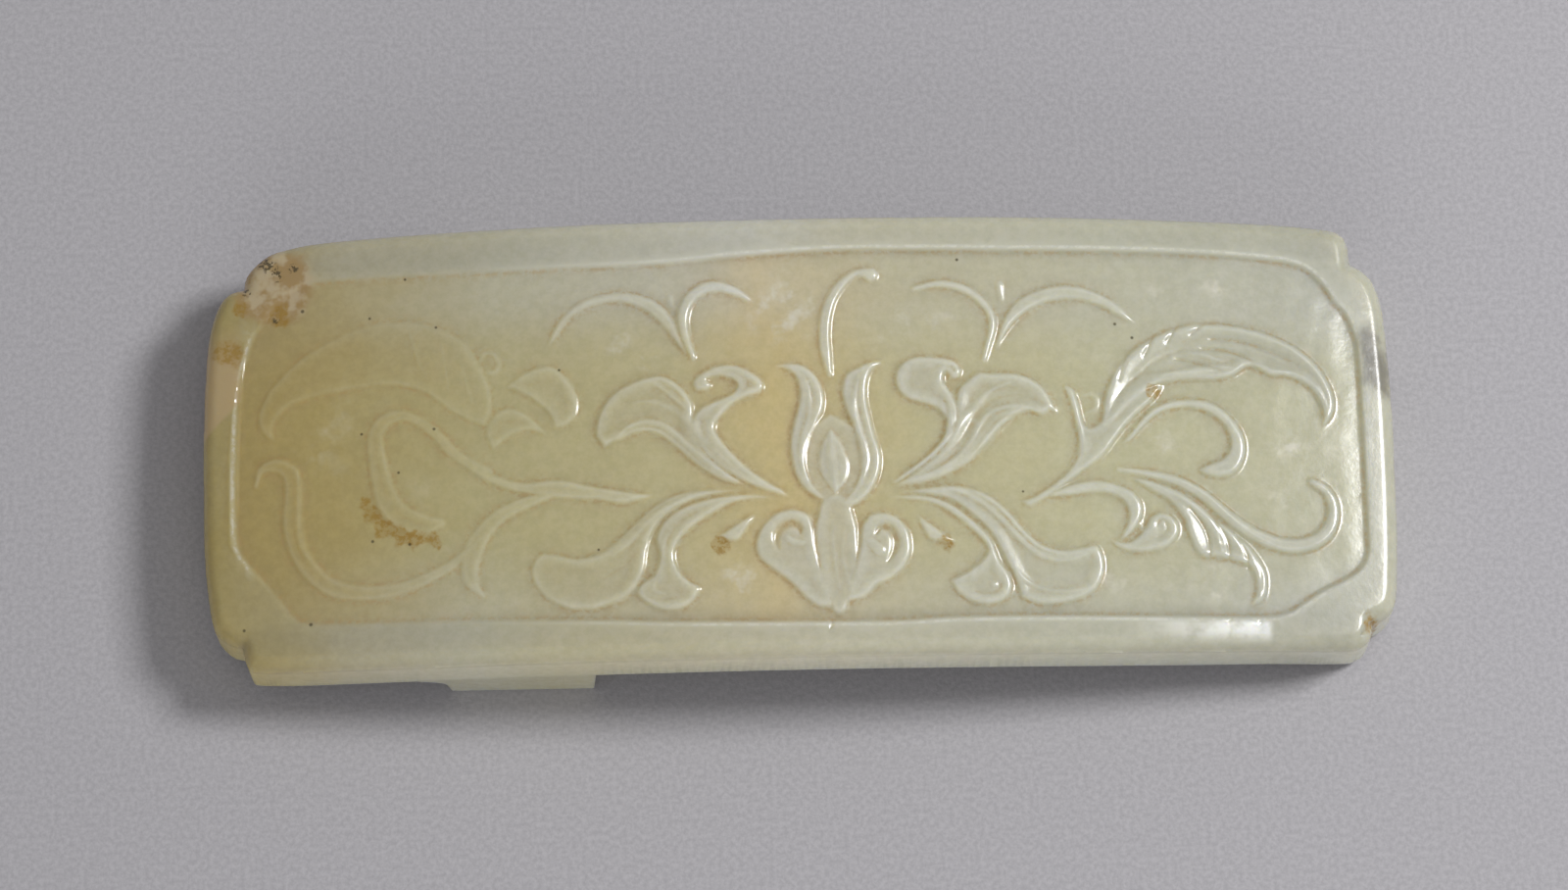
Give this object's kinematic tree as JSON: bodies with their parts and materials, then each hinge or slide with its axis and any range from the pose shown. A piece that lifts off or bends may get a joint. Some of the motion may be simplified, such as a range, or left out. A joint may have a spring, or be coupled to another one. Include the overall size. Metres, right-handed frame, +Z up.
{
  "type": "belt buckle",
  "caption": "Arched oblong jade belt buckle plaque with indented corners, carved with a lotus scroll inside a raised border, with a flat belt loop beneath.",
  "frame": {"origin": "below the middle of the plaque's box, on the surface it lies on", "axes": "+X along the plaque from the end with the belt loop to the other end, +Y to its back side as pictured, +Z up out of the carved face"},
  "size_m": [0.1, 0.0382, 0.0115],
  "materials": {
    "jade": "polished greyish green nephrite, browner in the hollows"
  },
  "bodies": {
    "root": {"jade_plaque": "jade"}
  },
  "joints": []
}
